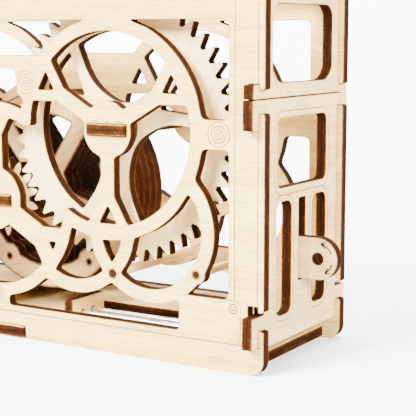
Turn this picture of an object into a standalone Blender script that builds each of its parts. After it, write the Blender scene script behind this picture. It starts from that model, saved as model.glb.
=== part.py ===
"""A laser-cut plywood puzzle machine: two large gears, a layered drum and a finger lever in a frame of
interlocking panels. Drawn in millimetres and built in metres, X to the right, Y to the back, Z up."""

import math

import bpy
from mathutils import Euler, Vector

MM = 0.001
PLY = 3.0
GAP = 0.3
CHORD = 3.6
FINEST_STEP = 12.0
COARSEST_STEP = 40.0

# The frame
HALF_WIDTH = 91.2
HEIGHT = 105.5
PANEL_Y = 23.5
INNER_Y = 21.7
PILASTER_X = 80.6
FLANGE_X = 89.6
SIDE_X = 88.0
SLOT_LEFT_X = 86.4
RAIL_TOP = 9.5
TOP_RAIL = 93.5
CORNER = 4.0

# The two axes of the gear train, and the circles that the fretwork is drawn from
GEAR_HUB = (41.5, 63.3)
DRUM_HUB = (0.0, 41.0)
GEAR_RING = (27.2, 31.0)
DRUM_RING = (25.2, 29.0)
SCROLL_LEFT = (30.0, 36.8)
SCROLL_RIGHT = (55.5, 36.5)
SCROLL_RING = (16.6, 20.6)
HUB_RADIUS = 8.0
DRUM_HUB_RADIUS = 10.0
ARM_SPREAD = 30.0
EYE_ROUND = 0.6

# Gears: a 50-tooth wheel on each side of a 14-tooth pinion
WHEEL_TEETH = 50
PINION_TEETH = 14
PRESSURE = math.radians(25.0)
BACKLASH = 0.3
WHEEL_RIM = 27.3
WHEEL_HUB = 7.6
WHEEL_SPOKE = 23.0
BORE = 5.5
GEAR_Y = -17.5

# Axles: flat bars, wide in the front panel and narrow behind it
AXLE_HEAD = 6.4
AXLE_HALF = 3.4
AXLE_END = 26.0
BEARING = 5.2
WASHER = 6.5

# The drum: six discs on the pinion's axis
DISC_RADIUS = 31.0
DISC_COUNT = 6
DISC_FIRST_Y = 0.5
DISC_RIM = 24.0
DISC_HUB = 9.5
DISC_SPOKE = 3.0
DISC_WINDOWS = 5
DISC_TURN = 20.0
PIN_CIRCLE = 27.0
PIN_LOBE = 4.5
SPACERS = 4

# The finger lever and its pin, the tie dowels and the steel rods
LEVER_PIVOT = (70.5, 25.5)
LUG = 2.8
LEVER_PIN = 1.2
EAR = (95.2, 28.4)
EAR_RADIUS = 5.9
EAR_HOLE = 1.75
TIE = (43.0, 23.0)
TIE_RADIUS = 1.4
ROD_RADIUS = 0.8
ROD_YS = (-16.5, -11.5)
ROD_Z = 8.0
RIB_XS = (24.4, 83.0)
RIB_FOOT = 3.8
RIB_STEP_Y = -6.0
RIB_LOW = 6.2
RIB_HIGH = 12.5
BOARD_X = 85.8
BASE_TAB_X = 10.7
SHELF_FRONT = -5.7
SHELF_BACK = 21.5
SHELF_NOTCH_X = 14.6
SHELF_NOTCH_BACK = 15.0
KEY_XS = (55.3, 64.7)
WELL = (78.0, 14.0)

# The hooked tabs of the side panels
SIDE_BOTTOM = 6.8
SIDE_TOP = 72.8
HOOK_OUT = 28.2
HOOK_BACK = 25.3
LOW_TAB = (10.5, 16.0, 7.5)
HIGH_TAB = (69.3, 72.8, 65.0)
UPPER_BOTTOM = 73.1
UPPER_TOP = 102.2
UPPER_TAB = 76.8


def material(name, colour, roughness, metallic=0.0):
    made = bpy.data.materials.new(name)
    made.use_nodes = True
    shader = made.node_tree.nodes["Principled BSDF"]
    shader.inputs["Base Color"].default_value = (*colour, 1.0)
    shader.inputs["Roughness"].default_value = roughness
    shader.inputs["Metallic"].default_value = metallic
    made.diffuse_color = (*colour, 1.0)
    return made


def polar(centre, radius, degrees):
    turn = math.radians(degrees)
    return (centre[0] + radius * math.cos(turn), centre[1] + radius * math.sin(turn))


def bearing_of(centre, point):
    return math.degrees(math.atan2(point[1] - centre[1], point[0] - centre[0]))


def arc(centre, radius, start, end, step=None):
    """Points from one angle to another, both in degrees; the order of the two gives the direction."""
    step = step or min(COARSEST_STEP, max(FINEST_STEP, math.degrees(CHORD / radius)))
    count = max(1, math.ceil(abs(end - start) / step))
    return [polar(centre, radius, start + (end - start) * i / count) for i in range(count + 1)]


def arc_between(centre, radius, first, last, turn):
    """The arc from one point to another: turn is 1 anticlockwise and -1 clockwise."""
    start = bearing_of(centre, first)
    sweep = (turn * (bearing_of(centre, last) - start)) % 360.0
    return arc(centre, radius, start, start + turn * sweep)


def circle(centre, radius, count=24):
    return arc(centre, radius, 0.0, 360.0, 360.0 / count)[:-1]


def crossing(first, first_radius, second, second_radius, side):
    """Where two circles meet: side 1 is to the left of the line from the first centre to the second."""
    dx, dz = second[0] - first[0], second[1] - first[1]
    span = math.hypot(dx, dz)
    along = (span**2 + first_radius**2 - second_radius**2) / (2 * span)
    off = side * math.sqrt(first_radius**2 - along**2)
    return (
        first[0] + (along * dx - off * dz) / span,
        first[1] + (along * dz + off * dx) / span,
    )


def box_outline(low, high):
    return [low, (high[0], low[1]), high, (low[0], high[1])]


def softened(points, radius, sharp=25.0):
    """The outline with each corner that turns by more than the sharp angle rounded off."""
    done = []
    for i, here in enumerate(points):
        corner = Vector(here)
        before = Vector(points[i - 1]) - corner
        after = Vector(points[(i + 1) % len(points)]) - corner
        if min(before.length, after.length) < 1e-6:
            continue
        turn = math.pi - before.angle(after)
        if math.degrees(turn) < sharp:
            done.append(here)
            continue
        cut = min(radius * math.tan(turn / 2), 0.45 * before.length, 0.45 * after.length)
        start = corner + before.normalized() * cut
        end = corner + after.normalized() * cut
        bulge = corner * 0.5 + (start + end) * 0.25
        done += [tuple(start), tuple(bulge), tuple(end)]
    return done


def mirrored(points):
    return [(-x, z) for x, z in points]


def both_sides(openings):
    return openings + [mirrored(opening) for opening in openings]


def arm_edge(centre, angle, side, hub, neck, split, rim):
    """One edge of an arm, from the hub outwards: straight, then spreading towards the ring."""
    along = Vector((math.cos(math.radians(angle)), math.sin(math.radians(angle))))
    across = Vector((-along.y, along.x)) * side
    start = along * math.sqrt(hub**2 - neck**2) + across * neck
    fork = along * split + across * neck
    spread = math.radians(ARM_SPREAD)
    leg = along * math.cos(spread) + across * math.sin(spread)
    reach = -fork.dot(leg) + math.sqrt(fork.dot(leg) ** 2 - fork.length_squared + rim**2)
    return [tuple(Vector(centre) + p) for p in (start, fork, fork + leg * reach)]


def arm_window(centre, middle, hub, neck, split, rim):
    """The opening between two arms 120 degrees apart, closed by the ring and by the hub."""
    out = arm_edge(centre, middle - 60.0, 1, hub, neck, split, rim)
    back = arm_edge(centre, middle + 60.0, -1, hub, neck, split, rim)[::-1]
    ring = arc_between(centre, rim, out[-1], back[0], 1)
    around = arc_between(centre, hub, back[-1], out[0], -1)
    return out + ring[1:-1] + back + around[1:-1]


def arm_eye(centre, angle, apex, base):
    """The triangular eye in an arm's forked end."""
    half = math.degrees(math.atan((base - apex) * math.tan(math.radians(ARM_SPREAD)) / base))
    corners = [
        polar(centre, apex, angle),
        polar(centre, base, angle - half),
        polar(centre, base, angle + half),
    ]
    return softened(corners, EYE_ROUND)


GEAR_ARM = dict(hub=HUB_RADIUS, neck=2.2, split=18.6, rim=GEAR_RING[0])
DRUM_ARM = dict(hub=DRUM_HUB_RADIUS, neck=3.4, split=19.4, rim=DRUM_RING[0])
WINDOW_ROUND = 1.2
TIGHT_ROUND = 0.5


def mesh_window():
    """The opening where the wheel meets the pinion: the ring round the wheel stops on both sides of it."""
    rise = arm_edge(DRUM_HUB, -30.0, 1, **DRUM_ARM)[:2]
    stub_foot = (25.0, rise[-1][1])
    stub = polar(GEAR_HUB, GEAR_RING[0], 236.0)
    lower_arm = arm_edge(GEAR_HUB, 270.0, -1, **GEAR_ARM)[::-1]
    upper_arm = arm_edge(GEAR_HUB, 150.0, 1, **GEAR_ARM)
    ring_end = polar(GEAR_HUB, GEAR_RING[0], 180.0)
    drum_arm = arm_edge(DRUM_HUB, 90.0, -1, **DRUM_ARM)[::-1]
    drum_ring_end = (
        math.sqrt(DRUM_RING[0] ** 2 - (ring_end[1] - DRUM_HUB[1]) ** 2),
        ring_end[1],
    )
    return softened(
        rise
        + [stub_foot]
        + arc_between(GEAR_HUB, GEAR_RING[0], stub, lower_arm[0], 1)[:-1]
        + lower_arm
        + arc_between(GEAR_HUB, HUB_RADIUS, lower_arm[-1], upper_arm[0], -1)[1:-1]
        + upper_arm
        + arc_between(GEAR_HUB, GEAR_RING[0], upper_arm[-1], ring_end, 1)[1:]
        + arc_between(DRUM_HUB, DRUM_RING[0], drum_ring_end, drum_arm[0], 1)[:-1]
        + drum_arm
        + arc_between(DRUM_HUB, DRUM_HUB_RADIUS, drum_arm[-1], rise[0], -1)[1:-1],
        WINDOW_ROUND,
    )


def path_of_arcs(*pieces):
    """A closed outline from arcs that meet: each piece is centre, radius, first point, last point, turn."""
    points = []
    for centre, radius, first, last, turn in pieces:
        points += arc_between(centre, radius, first, last, turn)[:-1]
    return points


def lugged(centre, radius, first, last, turn):
    """An arc of the right scroll that swells round the lever pin's lug."""
    outward = turn if radius < math.dist(centre, LEVER_PIVOT) else -turn
    near = crossing(centre, radius, LEVER_PIVOT, LUG, -turn)
    far = crossing(centre, radius, LEVER_PIVOT, LUG, turn)
    return (
        arc_between(centre, radius, first, near, turn)[:-1]
        + arc_between(LEVER_PIVOT, LUG, near, far, -outward)[:-1]
        + arc_between(centre, radius, far, last, turn)
    )


def scroll_windows():
    """The three openings inside the two crossing scrolls, and the small one in the crossing itself."""
    inner, outer = SCROLL_RING
    wheel = GEAR_RING[1]
    drum = DRUM_RING[1] + GAP
    top_left = crossing(GEAR_HUB, wheel, DRUM_HUB, drum, 1)
    top_right = crossing(GEAR_HUB, wheel, SCROLL_RIGHT, outer, -1)
    low_right = crossing(SCROLL_LEFT, inner, SCROLL_RIGHT, outer, -1)
    low_left = crossing(SCROLL_LEFT, inner, DRUM_HUB, drum, 1)
    left = path_of_arcs(
        (GEAR_HUB, wheel, top_left, top_right, 1),
        (SCROLL_RIGHT, outer, top_right, low_right, 1),
        (SCROLL_LEFT, inner, low_right, low_left, -1),
        (DRUM_HUB, drum, low_left, top_left, 1),
    )
    crossing_left = crossing(GEAR_HUB, wheel, SCROLL_RIGHT, inner, -1)
    crossing_right = crossing(GEAR_HUB, wheel, SCROLL_LEFT, inner, 1)
    crossing_low = crossing(SCROLL_LEFT, inner, SCROLL_RIGHT, inner, -1)
    middle = path_of_arcs(
        (GEAR_HUB, wheel, crossing_left, crossing_right, 1),
        (SCROLL_LEFT, inner, crossing_right, crossing_low, -1),
        (SCROLL_RIGHT, inner, crossing_low, crossing_left, -1),
    )
    near = crossing(GEAR_HUB, wheel, SCROLL_LEFT, outer, 1)
    far = crossing(GEAR_HUB, wheel, SCROLL_RIGHT, inner, 1)
    low = crossing(SCROLL_RIGHT, inner, SCROLL_LEFT, outer, 1)
    right = (
        path_of_arcs((GEAR_HUB, wheel, near, far, 1))
        + lugged(SCROLL_RIGHT, inner, far, low, -1)[:-1]
        + path_of_arcs((SCROLL_LEFT, outer, low, near, 1))
    )
    return [softened(left, 0.8), softened(middle, TIGHT_ROUND), softened(right, 0.8)]


def at_height(centre, radius, height, side):
    """The point of a circle at a height, on its right (1) or its left (-1)."""
    return (centre[0] + side * math.sqrt(radius**2 - (height - centre[1]) ** 2), height)


def edge_windows():
    """The openings between the rings, the rails and the pilaster."""
    wheel = GEAR_RING[1]
    outer = SCROLL_RING[1]
    web_low, web_high, badge_top = 59.5, 67.3, 19.7
    beside = at_height(GEAR_HUB, wheel, web_high, 1)
    above = at_height(GEAR_HUB, wheel, TOP_RAIL, 1)
    upper = arc_between(GEAR_HUB, wheel, beside, above, 1)
    upper += [(PILASTER_X, TOP_RAIL), (PILASTER_X, web_high)]
    below = at_height(GEAR_HUB, wheel, web_low, 1)
    meet = crossing(GEAR_HUB, wheel, SCROLL_RIGHT, outer, 1)
    foot = at_height(SCROLL_RIGHT, outer, badge_top, 1)
    lower = arc_between(GEAR_HUB, wheel, below, meet, -1)[:-1]
    lower += lugged(SCROLL_RIGHT, outer, meet, foot, -1)
    lower += [(PILASTER_X, badge_top), (PILASTER_X, web_low)]
    left_end, right_end = 5.0, 65.0
    end = (right_end, SCROLL_RIGHT[1] - math.sqrt(outer**2 - (right_end - SCROLL_RIGHT[0]) ** 2))
    joint = crossing(SCROLL_LEFT, outer, SCROLL_RIGHT, outer, -1)
    drum_meet = crossing(SCROLL_LEFT, outer, DRUM_HUB, DRUM_RING[1], 1)
    start = (left_end, DRUM_HUB[1] - math.sqrt(DRUM_RING[1] ** 2 - left_end**2))
    bottom = [(left_end, RAIL_TOP), (right_end, RAIL_TOP)]
    bottom += arc_between(SCROLL_RIGHT, outer, end, joint, -1)
    bottom += arc_between(SCROLL_LEFT, outer, joint, drum_meet, -1)[1:]
    bottom += arc_between(DRUM_HUB, DRUM_RING[1], drum_meet, start, -1)[1:]
    return [softened(upper, 2.0), softened(lower, 2.0), softened(bottom, 1.4)]


def centre_windows(with_upper):
    """The openings on the middle line: below the drum's hub and, in the front panel, above its ring."""
    low = dict(DRUM_ARM, hub=9.0)
    openings = [softened(arm_window(DRUM_HUB, 270.0, **low), WINDOW_ROUND)]
    bar_top = 83.5
    left = at_height(GEAR_HUB, GEAR_RING[1], bar_top, -1)
    right = at_height(GEAR_HUB, GEAR_RING[1], TOP_RAIL, -1)
    half = arc_between(GEAR_HUB, GEAR_RING[1], right, left, 1)[::-1]
    openings.append(softened(half + mirrored(half)[::-1], WINDOW_ROUND))
    if with_upper:
        side = [(10.8, 67.9), (11.6, 70.8), (9.8, 73.4), (9.4, 76.8), (8.6, 79.0), (7.2, 79.7)]
        sill = arc_between(DRUM_HUB, DRUM_RING[1] + GAP / 2, mirrored(side[:1])[0], side[0], -1)
        openings.append(side[1:] + mirrored(side[1:])[::-1] + sill)
    return openings


def panel_outline():
    """A panel's edge from its foot notch round to the top, with the open tab slots, then mirrored."""
    notch_x, notch_z = 11.0, 3.8
    low, high = (10.2, 18.8), (69.0, 77.0)
    flange = ((12.2, 17.3), (69.3, 75.5))
    key_x, key_depth = (55.0, 65.0), 3.3
    half = [(notch_x, notch_z), (notch_x, 0.0)]
    half += arc((HALF_WIDTH - CORNER, CORNER), CORNER, -90.0, 0.0, 22.5)
    for slot, gap in ((low, flange[0]), (high, flange[1])):
        half += [(HALF_WIDTH, gap[0] - 0.5), (HALF_WIDTH - 0.5, gap[0]), (FLANGE_X, gap[0])]
        half += [(FLANGE_X, slot[0]), (SLOT_LEFT_X, slot[0])]
        half += [(SLOT_LEFT_X, slot[1]), (FLANGE_X, slot[1])]
        half += [(FLANGE_X, gap[1]), (HALF_WIDTH - 0.5, gap[1]), (HALF_WIDTH, gap[1] + 0.5)]
    half += arc((HALF_WIDTH - 3.0, HEIGHT - 3.0), 3.0, 0.0, 90.0, 30.0)
    half += [(key_x[1], HEIGHT), (key_x[1], HEIGHT - key_depth)]
    half += [(key_x[0], HEIGHT - key_depth), (key_x[0], HEIGHT)]
    return half + mirrored(half)[::-1]


def panel_openings(front):
    """Every opening of the front or the back panel."""
    gear_slot = (AXLE_HEAD if front else AXLE_HALF) + GAP
    eyes = [arm_eye(GEAR_HUB, angle, 21.0, 26.5) for angle in (30.0, 150.0, 270.0)]
    openings = [
        mesh_window(),
        softened(arm_window(GEAR_HUB, -30.0, **GEAR_ARM), WINDOW_ROUND),
        softened(arm_window(GEAR_HUB, 90.0, **GEAR_ARM), WINDOW_ROUND),
        arm_eye(DRUM_HUB, -28.5, 22.9, 25.6),
        circle(TIE, TIE_RADIUS + GAP / 2, 12),
        circle(LEVER_PIVOT, LEVER_PIN + GAP / 2, 12),
        slot_outline(GEAR_HUB, gear_slot),
    ]
    openings = both_sides(openings + eyes + scroll_windows() + edge_windows())
    openings.append(slot_outline(DRUM_HUB, gear_slot))
    return openings + centre_windows(with_upper=front)


def slot_outline(centre, half):
    """The slot for a flat axle bar."""
    high = PLY / 2 + GAP
    return box_outline(
        (centre[0] - half, centre[1] - high), (centre[0] + half, centre[1] + high)
    )


FACING = {
    "front": Euler((math.radians(90.0), 0.0, 0.0)),
    "side": Euler((math.radians(90.0), 0.0, math.radians(90.0))),
    "flat": Euler((0.0, 0.0, 0.0)),
}


def plate(name, outline, openings, facing, place, finish, thickness=PLY):
    """One sheet: its outline and openings are drawn round the point where the sheet's origin goes."""
    data = bpy.data.curves.new(name, "CURVE")
    data.dimensions = "2D"
    data.fill_mode = "BOTH"
    data.extrude = thickness / 2 * MM
    for points in [outline, *openings]:
        spline = data.splines.new("POLY")
        spline.points.add(len(points) - 1)
        for knot, (u, v) in zip(spline.points, points):
            knot.co = (u * MM, v * MM, 0.0, 1.0)
        spline.use_cyclic_u = True
    data.materials.append(finish)
    made = bpy.data.objects.new(name, data)
    made.rotation_euler = FACING[facing]
    made.location = [value * MM for value in place]
    bpy.context.scene.collection.objects.link(made)
    return made


def front_plate(name, outline, openings, y, finish, hub=(0.0, 0.0), thickness=PLY):
    return plate(name, outline, openings, "front", (hub[0], y, hub[1]), finish, thickness)


def dowel(name, radius, ends, centre, finish, along="front", sides=16):
    """A round rod between two ends along Y (front) or X (side)."""
    middle = (ends[0] + ends[1]) / 2
    place = (centre[0], middle, centre[1]) if along == "front" else (middle, centre[0], centre[1])
    outline = circle((0.0, 0.0), radius, sides)
    return plate(name, outline, [], along, place, finish, ends[1] - ends[0])


def involute(angle):
    return math.tan(angle) - angle


def toothed(teeth, module, phase, steps):
    """A spur gear's outline round its own axis, with one tooth centred on the phase angle."""
    pitch = module * teeth / 2
    base = pitch * math.cos(PRESSURE)
    tip, root = pitch + module, pitch - 1.25 * module
    half = (math.pi * module - BACKLASH) / (4 * pitch) + involute(PRESSURE)
    low = max(base, root)
    flank = []
    for i in range(steps + 1):
        radius = low + (tip - low) * i / steps
        flank.append((radius, half - involute(math.acos(min(1.0, base / radius)))))
    if root < base:
        flank.insert(0, (root, flank[0][1]))
    points = []
    for tooth in range(teeth):
        middle = math.radians(phase) + 2 * math.pi * tooth / teeth
        points += [(r * math.cos(middle - a), r * math.sin(middle - a)) for r, a in flank]
        points += [(r * math.cos(middle + a), r * math.sin(middle + a)) for r, a in flank[::-1]]
    return points


def wheel_windows():
    """Three wide openings between the forked spokes, and the eye in each fork."""
    centre = (0.0, 0.0)
    openings = []
    for spoke in range(3):
        middle = WHEEL_SPOKE - 60.0 + 120.0 * spoke
        side = [(17.5, 42.0), (13.0, 39.0), (9.8, 30.0), (WHEEL_HUB + 0.3, 16.0)]
        edge = [polar(centre, r, middle - a) for r, a in side[::-1]]
        edge += arc(centre, WHEEL_RIM, middle - 38.5, middle + 38.5)
        edge += [polar(centre, r, middle + a) for r, a in side]
        openings.append(softened(edge, WINDOW_ROUND))
        axis = WHEEL_SPOKE + 120.0 * spoke
        eye = [polar(centre, 14.6, axis)] + arc(centre, WHEEL_RIM, axis - 14.3, axis + 14.3)
        openings.append(softened(eye, 0.8))
    return openings


def disc_windows():
    """The drum discs' windows, whose rims swell inwards round each pin hole."""
    centre = (0.0, 0.0)
    openings = []
    for i in range(DISC_WINDOWS):
        middle = DISC_TURN + 360.0 / DISC_WINDOWS * i
        pin = polar(centre, PIN_CIRCLE, middle)
        half = 180.0 / DISC_WINDOWS
        outer = half - math.degrees(math.asin(DISC_SPOKE / DISC_RIM))
        inner = half - math.degrees(math.asin(DISC_SPOKE / DISC_HUB))
        near = crossing(centre, DISC_RIM, pin, PIN_LOBE, -1)
        far = crossing(centre, DISC_RIM, pin, PIN_LOBE, 1)
        edge = arc_between(centre, DISC_RIM, polar(centre, DISC_RIM, middle - outer), near, 1)
        edge += arc_between(pin, PIN_LOBE, near, far, -1)[1:-1]
        edge += arc_between(centre, DISC_RIM, far, polar(centre, DISC_RIM, middle + outer), 1)
        edge += arc(centre, DISC_HUB, middle + inner, middle - inner, 20.0)
        openings.append(softened(edge, 1.0))
    return openings


def build_frame(wood):
    """The two fretwork panels, the base, the shelf on its ribs, and the frame on top."""
    front_plate("front_panel", panel_outline(), panel_openings(True), -PANEL_Y, wood)
    front_plate("back_panel", panel_outline(), panel_openings(False), PANEL_Y, wood)
    quarter = [(BASE_TAB_X, AXLE_END), (BASE_TAB_X, INNER_Y), (BOARD_X, INNER_Y)]
    top_half = mirrored(quarter)[::-1] + quarter
    board = top_half + [(x, -y) for x, y in top_half[::-1]]
    plate("base_board", board, [], "flat", (0.0, 0.0, 2.0), wood)
    notch = [(SHELF_NOTCH_X, SHELF_NOTCH_BACK), (SHELF_NOTCH_X, SHELF_FRONT)]
    right_half = notch + [(BOARD_X, SHELF_FRONT), (BOARD_X, SHELF_BACK)]
    plate("shelf", mirrored(right_half)[::-1] + right_half, [], "flat", (0.0, 0.0, 8.0), wood)
    (inner, outer), face = KEY_XS, PANEL_Y + PLY / 2
    quarter = [(inner, INNER_Y), (inner, face), (outer, face), (outer, INNER_Y)]
    quarter += [(HALF_WIDTH - 0.2, INNER_Y)]
    top_half = mirrored(quarter)[::-1] + quarter
    lid = top_half + [(x, -y) for x, y in top_half[::-1]]
    well = softened(box_outline((-WELL[0], -WELL[1]), WELL), 3.0)
    plate("top_frame", lid, [well], "flat", (0.0, 0.0, HEIGHT - PLY / 2), wood)


def build_ribs(wood, steel):
    """Stepped ribs that carry the shelf at the back and a pair of steel rods at the front."""
    rib = [(-SHELF_BACK, RIB_FOOT), (SHELF_BACK, RIB_FOOT), (SHELF_BACK, RIB_LOW), (RIB_STEP_Y, RIB_LOW)]
    rib += [(RIB_STEP_Y, RIB_HIGH), (-SHELF_BACK, RIB_HIGH)]
    holes = [circle((y, ROD_Z), ROD_RADIUS + 0.2, 12) for y in ROD_YS]
    for side, sign in (("right", 1), ("left", -1)):
        for where, x in (("inner", RIB_XS[0]), ("outer", RIB_XS[1])):
            plate(f"rib_{where}_{side}", rib, holes, "side", (sign * x, 0.0, 0.0), wood)
        for row, y in zip(("front", "back"), ROD_YS):
            ends = sorted((sign * (RIB_XS[0] - 4.0), sign * (RIB_XS[1] + 2.8)))
            dowel(f"steel_rod_{row}_{side}", ROD_RADIUS, ends, (y, ROD_Z), steel, "side", 12)


def side_outline():
    """A side panel's edge, with a hooked tab low and high at the front and at the back."""
    half = [(INNER_Y, SIDE_BOTTOM)]
    for low, high, hook in (LOW_TAB, HIGH_TAB):
        half += [(INNER_Y, low), (HOOK_BACK, low), (HOOK_BACK, hook)]
        half += [(HOOK_OUT, hook), (HOOK_OUT, high)]
        if high < SIDE_TOP:
            half += [(INNER_Y, high)]
    return softened(half + mirrored(half)[::-1], TIGHT_ROUND)


def build_sides(wood):
    """The side panels with their window and slots, and the open upper sides that stand on them."""
    window = softened(box_outline((-14.8, 48.8), (14.7, 67.6)), 2.5)
    slots = [softened(box_outline((a, 13.9), (a + 8.8, 45.1)), 3.0) for a in (-15.0, 6.1)]
    lever_slot = box_outline((-2.1, 22.0), (2.1, 45.1))
    tab = [(INNER_Y, UPPER_BOTTOM), (27.9, UPPER_BOTTOM), (27.9, UPPER_TAB - 0.6)]
    tab += [(27.3, UPPER_TAB), (INNER_Y, UPPER_TAB), (INNER_Y, UPPER_TOP)]
    upper = tab + mirrored(tab)[::-1]
    half = [(12.0, UPPER_TAB), (17.7, 80.5), (17.7, 94.6), (14.0, 97.6)]
    light = half + mirrored(half)[::-1]
    for side, sign in (("right", 1), ("left", -1)):
        place = (sign * SIDE_X, 0.0, 0.0)
        openings = [window, *slots, lever_slot]
        plate(f"side_panel_{side}", side_outline(), openings, "side", place, wood)
        plate(f"upper_side_{side}", upper, [light], "side", place, wood)


def build_axle(name, hub, wood):
    """A flat bar, its wide head in the front panel's slot and its narrow end in the back panel's."""
    head_back = -22.0
    half = [(AXLE_HEAD, -AXLE_END), (AXLE_HEAD, head_back), (AXLE_HALF, head_back)]
    half += [(AXLE_HALF, AXLE_END)]
    outline = half + mirrored(half)[::-1]
    plate(name, outline, [], "flat", (hub[0], 0.0, hub[1]), wood)


def ring_on_axle(name, hub, radius, faces, wood):
    """A washer or bearing disc with a slot that holds it still on its flat bar."""
    slot = slot_outline((0.0, 0.0), AXLE_HALF + GAP)
    outline = circle((0.0, 0.0), radius, 20)
    y = (faces[0] + faces[1]) / 2
    front_plate(name, outline, [slot], y, wood, hub, faces[1] - faces[0])


def build_axles(wood):
    """The three axle bars with their bearing discs, front washers and rear collars."""
    hubs = {"right": GEAR_HUB, "left": mirrored([GEAR_HUB])[0], "centre": DRUM_HUB}
    gear_faces = (GEAR_Y - PLY / 2, GEAR_Y + PLY / 2)
    for side, hub in hubs.items():
        build_axle(f"axle_{side}", hub, wood)
        ring_on_axle(f"washer_front_{side}", hub, WASHER, (-21.7, gear_faces[0] - GAP), wood)
        ring_on_axle(f"bearing_front_{side}", hub, BEARING, gear_faces, wood)
    for side in ("right", "left"):
        behind = (gear_faces[1] + GAP, gear_faces[1] + GAP + PLY)
        ring_on_axle(f"washer_back_{side}", hubs[side], WASHER, behind, wood)
        ring_on_axle(f"collar_back_{side}", hubs[side], WASHER, (18.7, 21.7), wood)
    last = DISC_FIRST_Y + (DISC_COUNT - 1) * (PLY + GAP)
    ring_on_axle("bearing_back_centre", DRUM_HUB, BEARING, (last - 1.5, last + 1.5), wood)
    ring_on_axle("collar_back_centre", DRUM_HUB, WASHER, (last + 1.8, 21.7), wood)


def build_gears(wood):
    """The pinion and the two wheels it drives. The wheels mesh with it on both sides alike."""
    dx, dz = GEAR_HUB[0] - DRUM_HUB[0], GEAR_HUB[1] - DRUM_HUB[1]
    module = 2 * math.hypot(dx, dz) / (WHEEL_TEETH + PINION_TEETH)
    line = math.degrees(math.atan2(dz, dx))
    pinion_phase = -90.0
    pitch = 360.0 / PINION_TEETH
    past_gap = (line - pinion_phase) % pitch - pitch / 2
    wheel_phase = line + 180.0 + past_gap * PINION_TEETH / WHEEL_TEETH
    bore = [circle((0.0, 0.0), BORE, 20)]
    wheel = toothed(WHEEL_TEETH, module, wheel_phase, 1)
    pinion = toothed(PINION_TEETH, module, pinion_phase, 2)
    windows = wheel_windows()
    front_plate("pinion", pinion, bore, GEAR_Y, wood, DRUM_HUB)
    front_plate("gear_right", wheel, bore + windows, GEAR_Y, wood, GEAR_HUB)
    left = [mirrored(opening) for opening in windows]
    front_plate("gear_left", mirrored(wheel), bore + left, GEAR_Y, wood, mirrored([GEAR_HUB])[0])


def build_drum(wood):
    """Spacer rings behind the pinion, then the stack of discs."""
    bore = circle((0.0, 0.0), BORE, 16)
    start = GEAR_Y + PLY / 2 + GAP
    room = DISC_FIRST_Y - PLY / 2 - start
    thick = room / SPACERS - GAP
    for i in range(SPACERS):
        y = start + thick / 2 + i * (thick + GAP)
        outline = circle((0.0, 0.0), DISC_HUB - 1.0, 20)
        front_plate(f"drum_spacer_{i + 1}", outline, [bore], y, wood, DRUM_HUB, thick)
    windows = disc_windows()
    edge = circle((0.0, 0.0), DISC_RADIUS, 36)
    for i in range(DISC_COUNT):
        angles = [DISC_TURN + 360.0 / DISC_WINDOWS * k for k in range(DISC_WINDOWS)]
        pins = [circle(polar((0.0, 0.0), PIN_CIRCLE, a), 0.8, 6) for a in angles]
        holes = pins if i in (0, DISC_COUNT - 1) else []
        y = DISC_FIRST_Y + i * (PLY + GAP)
        front_plate(f"drum_disc_{i + 1}", edge, [bore, *windows, *holes], y, wood, DRUM_HUB)


def lever_outline():
    """The finger lever round its pivot: a short tail, a boss on the pin, and the ear outside."""
    ear = (EAR[0] - LEVER_PIVOT[0], EAR[1] - LEVER_PIVOT[1])
    tail = (-13.6, 1.0)
    points = arc(ear, EAR_RADIUS, -90.0, 90.0, 15.0)
    points += [(13.4, ear[1] + EAR_RADIUS), (10.0, 5.4), (5.0, 3.0)]
    points += arc((0.0, 0.0), 3.6, 65.0, 115.0, 25.0)
    points += arc(tail, 2.3, 90.0, 270.0, 30.0)
    points += arc((0.0, 0.0), 3.6, 245.0, 295.0, 25.0)
    points += [(5.0, -2.4), (11.0, ear[1] - EAR_RADIUS)]
    return points


def build_lever(wood):
    """The lever on its pin between two collars, with its ear outside the right side panel."""
    ear = (EAR[0] - LEVER_PIVOT[0], EAR[1] - LEVER_PIVOT[1])
    holes = [circle((0.0, 0.0), LEVER_PIN + 0.3, 16), circle(ear, EAR_HOLE, 16)]
    front_plate("lever", lever_outline(), holes, 0.0, wood, LEVER_PIVOT)
    for where, y in (("front", -3.3), ("back", 3.3)):
        grip = [circle((0.0, 0.0), LEVER_PIN + 0.15, 12)]
        outline = circle((0.0, 0.0), 3.2, 20)
        front_plate(f"lever_collar_{where}", outline, grip, y, wood, LEVER_PIVOT)


def build_dowels(wood):
    """Round dowels that tie the front panel to the back one."""
    reach = (-25.0, 25.0)
    for side, sign in (("right", 1), ("left", -1)):
        dowel(f"tie_dowel_{side}", TIE_RADIUS, reach, (sign * TIE[0], TIE[1]), wood)
    dowel("lever_pin", LEVER_PIN, reach, LEVER_PIVOT, wood)
    dowel("corner_dowel_left", LEVER_PIN, reach, mirrored([LEVER_PIVOT])[0], wood)


for old in list(bpy.data.objects):
    bpy.data.objects.remove(old)

birch = material("birch_ply", (0.87, 0.76, 0.60), 0.65)
shaded = material("drum_ply", (0.62, 0.47, 0.31), 0.7)
rods = material("bright_steel", (0.80, 0.81, 0.83), 0.2, 1.0)

build_frame(birch)
build_ribs(birch, rods)
build_sides(birch)
build_axles(birch)
build_gears(birch)
build_drum(shaded)
build_lever(birch)
build_dowels(birch)

middle_of_width = bpy.data.objects.new("middle_of_width", None)
middle_of_width.location.x = -(EAR[0] + EAR_RADIUS - HALF_WIDTH) / 2 * MM
for piece in list(bpy.context.scene.collection.objects):
    piece.parent = middle_of_width
bpy.context.scene.collection.objects.link(middle_of_width)
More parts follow.
